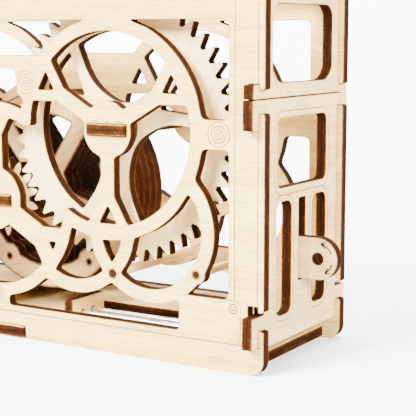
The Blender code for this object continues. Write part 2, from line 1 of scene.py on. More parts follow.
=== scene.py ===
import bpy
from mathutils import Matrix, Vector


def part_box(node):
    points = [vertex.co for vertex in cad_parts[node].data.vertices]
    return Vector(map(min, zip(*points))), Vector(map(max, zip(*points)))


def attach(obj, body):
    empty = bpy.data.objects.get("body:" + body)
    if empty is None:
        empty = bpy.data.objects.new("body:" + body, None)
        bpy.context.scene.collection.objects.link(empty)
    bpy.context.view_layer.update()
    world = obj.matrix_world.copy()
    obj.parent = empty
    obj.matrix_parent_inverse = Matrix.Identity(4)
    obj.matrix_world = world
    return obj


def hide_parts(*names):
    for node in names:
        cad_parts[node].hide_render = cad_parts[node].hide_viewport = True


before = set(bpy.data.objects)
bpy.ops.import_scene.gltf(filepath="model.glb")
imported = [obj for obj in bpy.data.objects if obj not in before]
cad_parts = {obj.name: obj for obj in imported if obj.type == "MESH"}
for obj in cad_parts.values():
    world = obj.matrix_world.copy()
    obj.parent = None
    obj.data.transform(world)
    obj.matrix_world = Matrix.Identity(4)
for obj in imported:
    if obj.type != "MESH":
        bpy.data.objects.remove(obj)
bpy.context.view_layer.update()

import math

import bmesh
import bpy
import numpy as np
from mathutils import Euler, Vector
from mathutils.geometry import delaunay_2d_cdt

# ---- Front panel -------------------------------------------------------------------------------
# The fretwork front of the machine, laser cut from one sheet of 3 mm birch plywood and left raw.
# The beam leaves every cut edge charred, and draws a thin burnt fringe round each opening.
MM = 0.001
FRINGE = 0.3 * MM
CUT_CORNER = 0.12 * MM
PLANES = {0: (1, 2), 1: (2, 0), 2: (0, 1)}
SHARP = math.radians(50.0)
CREASE = math.radians(32.0)
ARC_STEP, BEND_STEP = 0.09, 0.2
ALIKE_LENGTH, ALIKE_TURN = 0.03, 0.04
UNEVEN = 2.2


def new_group(name, inputs, outputs):
    """An empty shader group with its sockets: each is a name, a socket type and a starting value."""
    group = bpy.data.node_groups.new(name, "ShaderNodeTree")
    for in_out, sockets in (("INPUT", inputs), ("OUTPUT", outputs)):
        for label, kind, start in sockets:
            socket = group.interface.new_socket(label, in_out=in_out, socket_type=f"NodeSocket{kind}")
            if start is not None:
                socket.default_value = start
    return group, group.nodes.new("NodeGroupInput"), group.nodes.new("NodeGroupOutput")


def put(tree, kind, values=None, **settings):
    """A node with its settings, and a value or a link for each named or numbered socket."""
    node = tree.nodes.new(kind)
    for key, value in settings.items():
        setattr(node, key, value)
    for key, value in (values or {}).items():
        if isinstance(value, bpy.types.NodeSocket):
            tree.links.new(value, node.inputs[key])
        else:
            node.inputs[key].default_value = value
    return node


def maths(tree, operation, first, second=0.0, third=0.0):
    """The result of one Math node."""
    values = {0: first, 1: second, 2: third}
    return put(tree, "ShaderNodeMath", values, operation=operation).outputs[0]


def blended(tree, share, first, second, kind="MIX"):
    """Two colours mixed by a share."""
    node = put(tree, "ShaderNodeMix", {0: share}, data_type="RGBA", blend_type=kind)
    for key, value in ((6, first), (7, second)):
        if isinstance(value, bpy.types.NodeSocket):
            tree.links.new(value, node.inputs[key])
        else:
            node.inputs[key].default_value = (*value, 1.0)
    return node.outputs[2]


def spread(tree, value, low, high, to_low=0.0, to_high=1.0):
    """A value's range from low to high stretched over another range, and held at its ends."""
    values = {0: value, 1: low, 2: high, 3: to_low, 4: to_high}
    return put(tree, "ShaderNodeMapRange", values).outputs[0]


def speckle(tree, vector, scale, detail=2.0, rough=0.5):
    """Soft noise, from 0 to 1 with most of it near the middle."""
    values = {"Vector": vector, "Scale": scale, "Detail": detail, "Roughness": rough}
    return put(tree, "ShaderNodeTexNoise", values).outputs["Fac"]


def stretched(tree, vector, scale):
    """A position scaled by its own factor on each axis."""
    return put(tree, "ShaderNodeVectorMath", {0: vector, 1: scale}, operation="MULTIPLY").outputs[0]


def grain_group():
    """Birch veneer seen flat: slow bands, fine fibres and short dark pores, all running along X."""
    group, given, made = new_group(
        "birch grain",
        [("Along X", "Vector", None), ("Seed", "Float", 0.0)],
        [("Bands", "Float", None), ("Fibres", "Float", None), ("Pores", "Float", None)],
    )
    seed = put(group, "ShaderNodeCombineXYZ", {0: given.outputs["Seed"], 2: given.outputs["Seed"]})
    moved = put(group, "ShaderNodeVectorMath", {0: given.outputs["Along X"], 1: seed.outputs[0]})
    wander = speckle(group, stretched(group, moved.outputs[0], (14.0, 40.0, 40.0)), 1.0, 1.0)
    drift = put(group, "ShaderNodeCombineXYZ", {1: spread(group, wander, 0.3, 0.7, 0.0, 4 * MM),
                                                2: spread(group, wander, 0.3, 0.7, 0.0, 6 * MM)})
    bent = put(group, "ShaderNodeVectorMath", {0: moved.outputs[0], 1: drift.outputs[0]}).outputs[0]
    bands = speckle(group, stretched(group, bent, (9.0, 240.0, 240.0)), 1.0, 3.0, 0.55)
    fibres = speckle(group, stretched(group, bent, (70.0, 1500.0, 1500.0)), 1.0, 4.0, 0.65)
    pores = speckle(group, stretched(group, bent, (170.0, 3600.0, 3600.0)), 1.0, 1.0, 0.4)
    group.links.new(spread(group, bands, 0.34, 0.66), made.inputs["Bands"])
    group.links.new(spread(group, fibres, 0.3, 0.7), made.inputs["Fibres"])
    group.links.new(spread(group, pores, 0.64, 0.74), made.inputs["Pores"])
    return group


def burn_group():
    """A laser-cut edge: three plies across the thickness, striped by the beam and charred unevenly."""
    group, given, made = new_group(
        "laser burn",
        [("Run", "Vector", None), ("Seed", "Float", 0.0)],
        [("Ply", "Float", None), ("Stripes", "Float", None), ("Soot", "Float", None)],
    )
    split = put(group, "ShaderNodeSeparateXYZ", {0: given.outputs["Run"]})
    run, depth = split.outputs[0], split.outputs[1]
    shifted = maths(group, "ADD", run, given.outputs["Seed"])
    lines = put(group, "ShaderNodeCombineXYZ", {0: maths(group, "MULTIPLY", shifted, 3800.0),
                                                1: maths(group, "MULTIPLY", depth, 2.2)})
    clouds = put(group, "ShaderNodeCombineXYZ", {0: maths(group, "MULTIPLY", shifted, 160.0),
                                                 1: maths(group, "MULTIPLY", depth, 1.6)})
    ragged = put(group, "ShaderNodeCombineXYZ", {0: maths(group, "MULTIPLY", shifted, 900.0),
                                                 1: maths(group, "MULTIPLY", depth, 6.0)})
    wobble = spread(group, speckle(group, ragged.outputs[0], 1.0, 3.0), 0.3, 0.7, -0.05, 0.05)
    off_middle = maths(group, "ABSOLUTE", maths(group, "ADD", maths(group, "SUBTRACT", depth, 0.5), wobble))
    core = spread(group, off_middle, 0.11, 0.05)
    rim = spread(group, off_middle, 0.35, 0.49)
    ply = maths(group, "ADD", maths(group, "MULTIPLY", core, -0.5), maths(group, "MULTIPLY", rim, 1.0))
    group.links.new(ply, made.inputs["Ply"])
    stripes = speckle(group, lines.outputs[0], 1.0, 2.0, 0.6)
    soot = speckle(group, clouds.outputs[0], 1.0, 3.0, 0.55)
    group.links.new(spread(group, stripes, 0.3, 0.7), made.inputs["Stripes"])
    group.links.new(spread(group, soot, 0.35, 0.65), made.inputs["Soot"])
    return group


GRAIN = grain_group()
BURN = burn_group()


def fresh(name, roughness, shine):
    """A material with its Principled BSDF, ready for its colours."""
    finish = bpy.data.materials.new(name)
    finish.use_nodes = True
    shader = finish.node_tree.nodes["Principled BSDF"]
    shader.inputs["Roughness"].default_value = roughness
    shader.inputs["Specular IOR Level"].default_value = shine
    return finish, finish.node_tree, shader


def veneer(name, pale, warm, turn=(0.0, 0.0, 0.0), seed=0.0, fade=1.6,
           burnt_wood=(0.035, 0.010, 0.002)):
    """Raw birch face veneer, its grain along X before the turn, burnt where the sheet was cut."""
    finish, tree, shader = fresh(name, 0.62, 0.2)
    place = put(tree, "ShaderNodeTexCoord").outputs["Object"]
    radians = tuple(math.radians(angle) for angle in turn)
    along = put(tree, "ShaderNodeMapping", {"Vector": place, "Rotation": radians}).outputs[0]
    grain = put(tree, "ShaderNodeGroup", node_tree=GRAIN)
    tree.links.new(along, grain.inputs["Along X"])
    grain.inputs["Seed"].default_value = seed
    mixed = maths(tree, "MULTIPLY_ADD", grain.outputs["Bands"], 0.4,
                  maths(tree, "MULTIPLY", grain.outputs["Fibres"], 0.6))
    wood = blended(tree, mixed, pale, warm)
    pored = blended(tree, maths(tree, "MULTIPLY", grain.outputs["Pores"], 0.45), wood, (0.20, 0.085, 0.02))
    char = put(tree, "ShaderNodeAttribute", attribute_name="char").outputs["Fac"]
    patchy = speckle(tree, stretched(tree, place, (700.0, 700.0, 700.0)), 1.0, 2.0)
    burnt = maths(tree, "MULTIPLY", maths(tree, "POWER", char, fade),
                  spread(tree, patchy, 0.3, 0.7, 0.75, 1.0))
    colour = blended(tree, burnt, pored, burnt_wood)
    tree.links.new(colour, shader.inputs["Base Color"])
    tree.links.new(spread(tree, grain.outputs["Fibres"], 0.0, 1.0, 0.56, 0.70), shader.inputs["Roughness"])
    relief = maths(tree, "SUBTRACT", grain.outputs["Fibres"], grain.outputs["Pores"])
    bump = put(tree, "ShaderNodeBump", {"Height": relief, "Strength": 0.25, "Distance": 0.06 * MM})
    tree.links.new(bump.outputs[0], shader.inputs["Normal"])
    return finish


def cut_edge(name, black, brown, gold, seed=0.0):
    """A charred cut edge that reads the run along the cut and the depth through the sheet."""
    finish, tree, shader = fresh(name, 0.78, 0.05)
    run = put(tree, "ShaderNodeUVMap", uv_map="run_and_depth").outputs[0]
    burn = put(tree, "ShaderNodeGroup", node_tree=BURN)
    tree.links.new(run, burn.inputs["Run"])
    burn.inputs["Seed"].default_value = seed
    level = maths(tree, "ADD", maths(tree, "MULTIPLY_ADD", burn.outputs["Stripes"], 0.34, 0.12),
                  maths(tree, "MULTIPLY", burn.outputs["Soot"], 0.22))
    level = maths(tree, "MULTIPLY_ADD", burn.outputs["Ply"], 0.44, level)
    dark = blended(tree, spread(tree, level, 0.0, 0.5), black, brown)
    colour = blended(tree, spread(tree, level, 0.5, 1.0), dark, gold)
    tree.links.new(colour, shader.inputs["Base Color"])
    tree.links.new(spread(tree, burn.outputs["Stripes"], 0.0, 1.0, 0.66, 0.86), shader.inputs["Roughness"])
    bump = put(tree, "ShaderNodeBump", {"Height": burn.outputs["Stripes"], "Strength": 0.4,
                                        "Distance": 0.08 * MM})
    tree.links.new(bump.outputs[0], shader.inputs["Normal"])
    return finish


def rims(node, across):
    """The outlines of a flat sheet's upper face, each run so that the wood lies on its left.

    The faces are walked in the mesh's own order, so each outline starts at the same corner every time.
    """
    shape = bmesh.new()
    shape.from_mesh(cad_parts[node].data)
    bmesh.ops.remove_doubles(shape, verts=shape.verts, dist=0.002 * MM)
    ordered = [face for face in shape.faces if face.normal[across] > 0.9]
    top = set(ordered)
    after = {}
    for face in ordered:
        for loop in face.loops:
            if not any(other in top and other is not face for other in loop.edge.link_faces):
                after[loop.vert] = loop.link_loop_next.vert
    first, second = PLANES[across]
    outlines = []
    while after:
        start, here = after.popitem()
        outline = [start]
        while here is not start:
            outline.append(here)
            here = after.pop(here)
        outlines.append([Vector((v.co[first], v.co[second])) for v in outline])
    shape.free()
    return outlines


def turn_between(first, second):
    """The signed angle from one direction to the next."""
    return math.atan2(first.x * second.y - first.y * second.x, first.dot(second))


def rounded(points, radius):
    """For each corner, the points that take its place: a small curve where the outline turns sharply."""
    done = []
    for i, here in enumerate(points):
        before, after = points[i - 1] - here, points[(i + 1) % len(points)] - here
        turn = abs(turn_between(-before, after))
        if turn < SHARP:
            done.append([here])
            continue
        cut = min(radius * math.tan(turn / 2), 0.4 * before.length, 0.4 * after.length)
        start, end = here + before.normalized() * cut, here + after.normalized() * cut
        done.append([start * (1 - t) ** 2 + here * 2 * t * (1 - t) + end * t**2
                     for t in (0.0, 0.3, 0.7, 1.0)])
    return done


def eased(corners):
    """An outline of short chords turned back into the smooth arcs and round corners it was drawn with."""
    count = len(corners)
    steps = [corners[(i + 1) % count] - corners[i] for i in range(count)]
    turns = [turn_between(steps[i - 1], steps[i]) for i in range(count)]
    lengths = [step.length for step in steps]

    def is_bend(i):
        """Whether a corner is the middle of a tight bend drawn as two equal chords."""
        near = (turns[i - 1], turns[(i + 1) % count])
        equal = (abs(lengths[i - 1] - lengths[i]) < ALIKE_LENGTH * lengths[i]
                 and abs(near[0] - near[1]) < ALIKE_TURN)
        same_way = min(turns[i] * near[0], turns[i] * near[1]) > 0
        return equal and same_way and abs(turns[i]) > max(BEND_STEP, 1.8 * max(map(abs, near)))

    bends = [is_bend(i) for i in range(count)]

    def heading(i):
        """The direction in which the true curve passes a corner, or None where it breaks there."""
        if bends[(i + 1) % count]:
            return steps[i - 1].normalized()
        if bends[i - 1]:
            return steps[i].normalized()
        if abs(turns[i]) > SHARP:
            return None
        before, after = lengths[i - 1], lengths[i]
        if max(before, after) > UNEVEN * min(before, after):
            return (steps[i - 1] if before > after else steps[i]).normalized()
        share = turns[i] * before / (before + after)
        way = steps[i - 1].normalized()
        return Vector((way.x * math.cos(share) - way.y * math.sin(share),
                       way.x * math.sin(share) + way.y * math.cos(share)))

    headings = [heading(i) for i in range(count)]
    done = []
    for i in range(count):
        here, there = corners[i], corners[(i + 1) % count]
        if bends[i]:
            continue
        if bends[(i + 1) % count]:
            end = corners[(i + 2) % count]
            guide = there * 2 - (here + end) / 2
            parts = max(4, math.ceil(abs(turn_between(guide - here, end - guide)) / BEND_STEP))
            for k in range(parts):
                t = k / parts
                done.append(here * (1 - t) ** 2 + guide * 2 * t * (1 - t) + end * t**2)
            continue
        chord = steps[i].normalized()
        leave, arrive = headings[i], headings[(i + 1) % count]
        if leave is None:
            leave = chord if arrive is None else 2 * arrive.dot(chord) * chord - arrive
        if arrive is None:
            arrive = 2 * leave.dot(chord) * chord - leave
        parts = max(1, math.ceil(abs(turn_between(leave, arrive)) / ARC_STEP))
        for k in range(parts):
            t = k / parts
            out, back = leave * lengths[i], arrive * lengths[i]
            done.append(here * (2 * t**3 - 3 * t**2 + 1) + out * (t**3 - 2 * t**2 + t)
                        + there * (3 * t**2 - 2 * t**3) + back * (t**3 - t**2))
    return done


def pulled_in(points, distance):
    """The outline moved to its left by a distance."""
    moved = []
    for i, here in enumerate(points):
        before = (here - points[i - 1]).normalized()
        after = (points[(i + 1) % len(points)] - here).normalized()
        side = Vector((-before.y - after.y, before.x + after.x))
        reach = min(1.8, 2.0 / max(side.length, 0.2))
        moved.append(here + side.normalized() * distance * reach)
    return moved


def filled(outlines):
    """The wood inside the outlines: points, triangles, and the outline point that each point came from."""
    points = [point / MM for outline in outlines for point in outline]
    edges, start = [], 0
    for outline in outlines:
        edges += [(start + i, start + (i + 1) % len(outline)) for i in range(len(outline))]
        start += len(outline)
    spots, _, triangles, sources, _, _ = delaunay_2d_cdt(points, edges, [], 0, 1e-6)
    flat = np.array(spots)
    middles = flat[np.array(triangles)].mean(axis=1)
    inside = np.zeros(len(middles), dtype=bool)
    for first, second in edges:
        (ax, ay), (bx, by) = points[first], points[second]
        if ay != by:
            level = (ay > middles[:, 1]) != (by > middles[:, 1])
            inside ^= level & (middles[:, 0] < (bx - ax) * (middles[:, 1] - ay) / (by - ay) + ax)
    kept = [triangle for triangle, wood in zip(triangles, inside) if wood]
    return [spot * MM for spot in spots], kept, [source[0] if source else None for source in sources]


def cut_sheet(name, outlines, across, low, high, finishes, corner, fringe=FRINGE):
    """One closed sheet: both faces with their burnt fringe, and the charred walls of every cut."""
    first, second = PLANES[across]
    spots, char, faces, kinds, runs = [], [], [], [], []

    def add_spots(points, level, burnt):
        start = len(spots)
        for point in points:
            spot = [0.0, 0.0, 0.0]
            spot[first], spot[second], spot[across] = point.x, point.y, level
            spots.append(spot)
            char.append(burnt)
        return start

    insets = [pulled_in(outline, fringe) for outline in outlines]
    points, triangles, sources = filled(insets)
    inner_low, inner_high = add_spots(points, low, 0.0), add_spots(points, high, 0.0)
    for a, b, c in triangles:
        faces += [(inner_high + a, inner_high + b, inner_high + c),
                  (inner_low + c, inner_low + b, inner_low + a)]
        kinds += [0, 0]
        runs += [(0.0, 0.0)] * 6
    place_of = {source: place for place, source in enumerate(sources) if source is not None}
    passed = 0
    for outline in outlines:
        rim = [(point, i) for i, points in enumerate(rounded(outline, corner)) for point in points]
        outer_low = add_spots([point for point, _ in rim], low, 1.0)
        outer_high = add_spots([point for point, _ in rim], high, 1.0)
        run = 0.0
        for i, (here, guide) in enumerate(rim):
            j = (i + 1) % len(rim)
            there, next_guide = rim[j]
            a, b = (place_of.get(passed + k) for k in (guide, next_guide))
            if a is not None and b is not None:
                if a == b:
                    faces += [(outer_high + i, outer_high + j, inner_high + a),
                              (inner_low + a, outer_low + j, outer_low + i)]
                    runs += [(0.0, 0.0)] * 6
                else:
                    faces += [(outer_high + i, outer_high + j, inner_high + b, inner_high + a),
                              (inner_low + a, inner_low + b, outer_low + j, outer_low + i)]
                    runs += [(0.0, 0.0)] * 8
                kinds += [0, 0]
            on = run + (there - here).length
            faces.append((outer_low + i, outer_low + j, outer_high + j, outer_high + i))
            runs += [(run, 0.0), (on, 0.0), (on, 1.0), (run, 1.0)]
            kinds.append(1)
            run = on
        passed += len(outline)
    mesh = bpy.data.meshes.new(name)
    mesh.from_pydata(spots, [], faces)
    mesh.polygons.foreach_set("material_index", kinds)
    mesh.attributes.new("char", "FLOAT", "POINT").data.foreach_set("value", char)
    mesh.attributes.new("is_edge", "BOOLEAN", "FACE").data.foreach_set("value", [kind == 1 for kind in kinds])
    layer = mesh.uv_layers.new(name="run_and_depth")
    layer.data.foreach_set("uv", [value for run in runs for value in run])
    for finish in finishes:
        mesh.materials.append(finish)
    mesh.shade_smooth()
    mesh.set_sharp_from_angle(angle=CREASE)
    piece = bpy.data.objects.new(name, mesh)
    bpy.context.scene.collection.objects.link(piece)
    return piece


def ply_piece(node, across, finishes, body, corner=CUT_CORNER):
    """A plywood piece cut along the outline of its frame node, in place of that node."""
    low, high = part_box(node)
    outlines = [eased(outline) for outline in rims(node, across)]
    piece = cut_sheet(f"{node}_ply", outlines, across, low[across], high[across], finishes, corner)
    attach(piece, body)
    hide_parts(node)


PALE = (0.95, 0.69, 0.23)
WARM = (0.50, 0.29, 0.08)
front_veneer = veneer("front birch veneer", PALE, WARM, seed=0.3)
brown_edge = cut_edge("brown cut edge", (0.003, 0.0006, 0.0001), (0.026, 0.0066, 0.0009),
                      (0.19, 0.070, 0.010))
ply_piece("front_panel", 1, [front_veneer, brown_edge], "frame")
front_low, front_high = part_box("front_panel")
MIDDLE_X = (front_low.x + front_high.x) / 2
FRONT_FACE = front_low.y

# ---- Engraved lines on the front ----------------------------------------------------------------
# Fine lines that the laser only scorches: a border down each pilaster, a line along the lower rail,
# a corner plate with a screw mark, and round badges where the rings meet the frame.
LINE_WIDTH = 0.23 * MM
MARK_WIDTH = 0.3 * MM
LINE_FLAT = 0.12


def scorch_finish(name, dark, light):
    """A shallow scorched line, a little uneven along its run."""
    finish, tree, shader = fresh(name, 0.8, 0.05)
    place = put(tree, "ShaderNodeTexCoord").outputs["Object"]
    dots = speckle(tree, stretched(tree, place, (2500.0, 2500.0, 2500.0)), 1.0, 2.0)
    tree.links.new(blended(tree, spread(tree, dots, 0.3, 0.7), dark, light), shader.inputs["Base Color"])
    return finish


SCORCH = scorch_finish("scorched line", (0.020, 0.007, 0.002), (0.10, 0.036, 0.008))
DEEP_SCORCH = scorch_finish("deeply scorched mark", (0.004, 0.0014, 0.0006), (0.020, 0.007, 0.002))


def new_tree(name, inputs):
    """An empty Geometry Nodes tree with a geometry in, a geometry out and the named inputs."""
    tree = bpy.data.node_groups.new(name, "GeometryNodeTree")
    tree.interface.new_socket("Geometry", in_out="INPUT", socket_type="NodeSocketGeometry")
    for label, kind, start in inputs:
        socket = tree.interface.new_socket(label, in_out="INPUT", socket_type=f"NodeSocket{kind}")
        if start is not None:
            socket.default_value = start
    tree.interface.new_socket("Geometry", in_out="OUTPUT", socket_type="NodeSocketGeometry")
    return tree, tree.nodes.new("NodeGroupInput"), tree.nodes.new("NodeGroupOutput")


def flattened(tree, given, curves):
    """Curves given a round section, pressed nearly flat and laid on the face."""
    half = put(tree, "ShaderNodeMath", {0: given.outputs["Width"], 1: 0.5}, operation="MULTIPLY")
    section = put(tree, "GeometryNodeCurvePrimitiveCircle", {"Resolution": 6, "Radius": half.outputs[0]})
    tube = put(tree, "GeometryNodeCurveToMesh", {"Curve": curves, "Profile Curve": section.outputs[0],
                                                 "Fill Caps": True})
    return put(tree, "GeometryNodeTransform", {"Geometry": tube.outputs[0], "Scale": given.outputs["Press"],
                                               "Translation": given.outputs["Face"]})


def finished(tree, geometry, given, made):
    """The last two nodes of a tree: real geometry, in its finish."""
    whole = put(tree, "GeometryNodeRealizeInstances", {"Geometry": geometry})
    dressed = put(tree, "GeometryNodeSetMaterial", {"Geometry": whole.outputs[0],
                                                    "Material": given.outputs["Finish"]})
    tree.links.new(dressed.outputs[0], made.inputs["Geometry"])


BADGE_RADIUS = 3.3 * MM
BADGE_RINGS = (1.0, 0.68, 0.40)
LINE_INPUTS = [("Width", "Float", LINE_WIDTH), ("Press", "Vector", None), ("Face", "Vector", None),
               ("Finish", "Material", None)]


def line_tree():
    """Lines that follow the given curves, in the face's plane."""
    tree, given, made = new_tree("scorched lines", LINE_INPUTS)
    finished(tree, flattened(tree, given, given.outputs["Geometry"]).outputs[0], given, made)
    return tree


def badge_tree():
    """Round badges at the given points: three rings and a short bar, all in the face's plane."""
    own_inputs = [("Radius", "Float", BADGE_RADIUS), ("Turn", "Rotation", None)]
    tree, given, made = new_tree("round badges", LINE_INPUTS + own_inputs)
    joined = put(tree, "GeometryNodeJoinGeometry")
    for share in BADGE_RINGS:
        radius = put(tree, "ShaderNodeMath", {0: given.outputs["Radius"], 1: share}, operation="MULTIPLY")
        ring = put(tree, "GeometryNodeCurvePrimitiveCircle", {"Resolution": 40, "Radius": radius.outputs[0]})
        tree.links.new(ring.outputs[0], joined.inputs[0])
    for offset in (-0.12, 0.12):
        ends = []
        for reach in (-0.28, 0.28):
            spot = put(tree, "ShaderNodeCombineXYZ", {0: offset, 1: reach})
            ends.append(put(tree, "ShaderNodeVectorMath", {0: spot.outputs[0], 3: given.outputs["Radius"]},
                            operation="SCALE").outputs[0])
        bar = put(tree, "GeometryNodeCurvePrimitiveLine", {"Start": ends[0], "End": ends[1]})
        tree.links.new(bar.outputs[0], joined.inputs[0])
    upright = put(tree, "GeometryNodeTransform", {"Geometry": joined.outputs[0],
                                                  "Rotation": Euler((math.radians(90.0), 0.0, 0.0))})
    badges = put(tree, "GeometryNodeInstanceOnPoints", {"Points": given.outputs["Geometry"],
                                                        "Instance": upright.outputs[0],
                                                        "Rotation": given.outputs["Turn"]})
    loose = put(tree, "GeometryNodeRealizeInstances", {"Geometry": badges.outputs[0]})
    finished(tree, flattened(tree, given, loose.outputs[0]).outputs[0], given, made)
    return tree


def grown(name, source, tree, values):
    """What a tree makes of a source object, as a plain mesh at the origin."""
    modifier = source.modifiers.new("made", "NODES")
    modifier.node_group = tree
    for item in tree.interface.items_tree:
        if item.in_out == "INPUT" and item.name in values:
            modifier[item.identifier] = values[item.name]
    bpy.context.view_layer.update()
    graph = bpy.context.evaluated_depsgraph_get()
    mesh = bpy.data.meshes.new_from_object(source.evaluated_get(graph))
    mesh.name = name
    bpy.data.objects.remove(source)
    piece = bpy.data.objects.new(name, mesh)
    bpy.context.scene.collection.objects.link(piece)
    return piece


def strokes(name, lines, across):
    """A curve object of straight or closed strokes, drawn in the plane of a face that lies at zero."""
    data = bpy.data.curves.new(name, "CURVE")
    data.dimensions = "3D"
    for points, closed in lines:
        spline = data.splines.new("POLY")
        spline.points.add(len(points) - 1)
        for knot, (u, v) in zip(spline.points, points):
            knot.co = (0.0, u, v, 1.0) if across == 0 else (u, 0.0, v, 1.0)
        spline.use_cyclic_u = closed
    source = bpy.data.objects.new(name, data)
    bpy.context.scene.collection.objects.link(source)
    return source


def engraved(name, lines, across, face, body, finish=SCORCH, width=LINE_WIDTH):
    """Scorched lines on one face of a sheet, riding with it."""
    press, place = [1.0, 1.0, 1.0], [0.0, 0.0, 0.0]
    press[across], place[across] = LINE_FLAT, face
    values = {"Width": width, "Press": press, "Face": place, "Finish": finish}
    piece = grown(name, strokes(name + "_strokes", lines, across), LINES, values)
    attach(piece, body)


def ring_points(centre, radius, start=0.0, end=360.0, step=9.0):
    """Points along an arc, from a start to an end angle in degrees."""
    count = max(2, math.ceil(abs(end - start) / step))
    angles = [math.radians(start + (end - start) * i / count) for i in range(count + 1)]
    return [(centre[0] + radius * math.cos(a), centre[1] + radius * math.sin(a)) for a in angles]


def rounded_box(low, high, radius):
    """A closed outline with four round corners."""
    points = []
    for corner, start in (((high[0], low[1]), -90.0), (high, 0.0), ((low[0], high[1]), 90.0), (low, 180.0)):
        centre = [c - radius if c == h else c + radius for c, h in zip(corner, high)]
        points += ring_points(centre, radius, start, start + 90.0, 15.0)
    return points


LINES = line_tree()
BADGES = badge_tree()
RAIL_LINE_Z = 7.7 * MM
RAIL_LINE_END = 90.9 * MM
PILASTER_LINES = (82.4 * MM, 89.3 * MM)
FLANGES = ((17.6 * MM, 69.0 * MM), (75.8 * MM, 105.5 * MM))
FLANGE_GAP = 0.4 * MM
PLATE_TOP = 19.7 * MM
PLATE_INNER, PLATE_SIDE = 66.5 * MM, 84.2 * MM
PLATE_ROUND = 2 * MM
SCREW_MARK = (82.0 * MM, 17.4 * MM)
SCREW_RADIUS, SCREW_SLOT_HALF, SCREW_SLOT_SIDES = 1.25 * MM, 0.8 * MM, (-0.35 * MM, 0.35 * MM)
HUB_DASH_Z = 65.6 * MM
HUB_X = 41.5 * MM
HUB_DASHES = ((-4.0 * MM, 1.3 * MM), (0.0, 0.5 * MM), (4.2 * MM, 1.4 * MM))


def level_line(middle, half, z):
    """A level stroke of twice the half length, open at both ends."""
    return [(middle - half, z), (middle + half, z)], False


front_lines, screw_marks = [], []
for side in (1, -1):
    inner_x, outer_x = (MIDDLE_X + side * x for x in PILASTER_LINES)
    front_lines.append(([(inner_x, PLATE_TOP), (inner_x, front_high.z - FLANGE_GAP / 2)], False))
    for low, high in FLANGES:
        front_lines.append(([(outer_x, low + FLANGE_GAP), (outer_x, high - FLANGE_GAP)], False))
    plate = [(PLATE_INNER, PLATE_TOP), (PLATE_SIDE - PLATE_ROUND, PLATE_TOP)]
    plate += ring_points((PLATE_SIDE - PLATE_ROUND, PLATE_TOP - PLATE_ROUND), PLATE_ROUND, 90.0, 0.0, 15.0)
    plate.append((PLATE_SIDE, RAIL_LINE_Z))
    front_lines.append(([(MIDDLE_X + side * x, z) for x, z in plate], False))
    mark = (MIDDLE_X + side * SCREW_MARK[0], SCREW_MARK[1])
    screw_marks.append((ring_points(mark, SCREW_RADIUS)[:-1], True))
    for up in SCREW_SLOT_SIDES:
        screw_marks.append(level_line(mark[0], SCREW_SLOT_HALF, mark[1] + up))
front_lines.append(level_line(MIDDLE_X, RAIL_LINE_END, RAIL_LINE_Z))
for hub in (-HUB_X, HUB_X):
    for along, half in HUB_DASHES:
        screw_marks.append(level_line(MIDDLE_X + hub + along, half, HUB_DASH_Z))
engraved("front_scorched_lines", front_lines, 1, FRONT_FACE, "frame")
engraved("front_deep_marks", screw_marks, 1, FRONT_FACE, "frame", DEEP_SCORCH, MARK_WIDTH)

badge_places = {"outer": (0.0, BADGE_RADIUS, SCORCH, [(77.5 * MM, 63.5 * MM), (-77.5 * MM, 63.5 * MM)]),
                "inner": (90.0, BADGE_RADIUS, DEEP_SCORCH, [(13.2 * MM, 75.8 * MM), (-13.2 * MM, 75.8 * MM)]),
                "lower": (90.0, 2.7 * MM, SCORCH, [(0.0, 12.6 * MM)])}
for where, (turn, radius, finish, centres) in badge_places.items():
    spots = bpy.data.meshes.new(f"{where}_badge_spots")
    spots.from_pydata([(MIDDLE_X + x, 0.0, z) for x, z in centres], [], [])
    source = bpy.data.objects.new(f"{where}_badge_spots", spots)
    bpy.context.scene.collection.objects.link(source)
    badges = grown(f"{where}_badges", source, BADGES,
                   {"Width": LINE_WIDTH, "Press": [1.0, LINE_FLAT, 1.0], "Face": [0.0, FRONT_FACE, 0.0],
                    "Finish": finish, "Radius": radius, "Turn": [0.0, math.radians(turn), 0.0]})
    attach(badges, "frame")

# ---- Back panel, boards and ribs -----------------------------------------------------------------
# The rear sheet repeats the front's fretwork. A base board, an inner shelf on four stepped ribs and
# an open top frame, all of the same plywood, tie the two together with tabs.
back_veneer = veneer("back birch veneer", PALE, WARM, seed=2.1)
board_veneer = veneer("board birch veneer", (0.90, 0.64, 0.27), (0.60, 0.37, 0.13), seed=4.4)
rib_veneer = veneer("rib birch veneer", PALE, WARM, turn=(0.0, 0.0, 90.0), seed=5.2)
ply_piece("back_panel", 1, [back_veneer, brown_edge], "frame")
for node in ("base_board", "shelf", "top_frame"):
    ply_piece(node, 2, [board_veneer, brown_edge], "frame")
for where in ("inner", "outer"):
    for side in ("right", "left"):
        ply_piece(f"rib_{where}_{side}", 0, [rib_veneer, brown_edge], "frame")

# ---- Steel rods ----------------------------------------------------------------------------------
# Two bright drawn rods on each side, pushed through the ribs low behind the front rail.
ROD_CHAMFER = 0.2 * MM
PIN_SIDES = 28


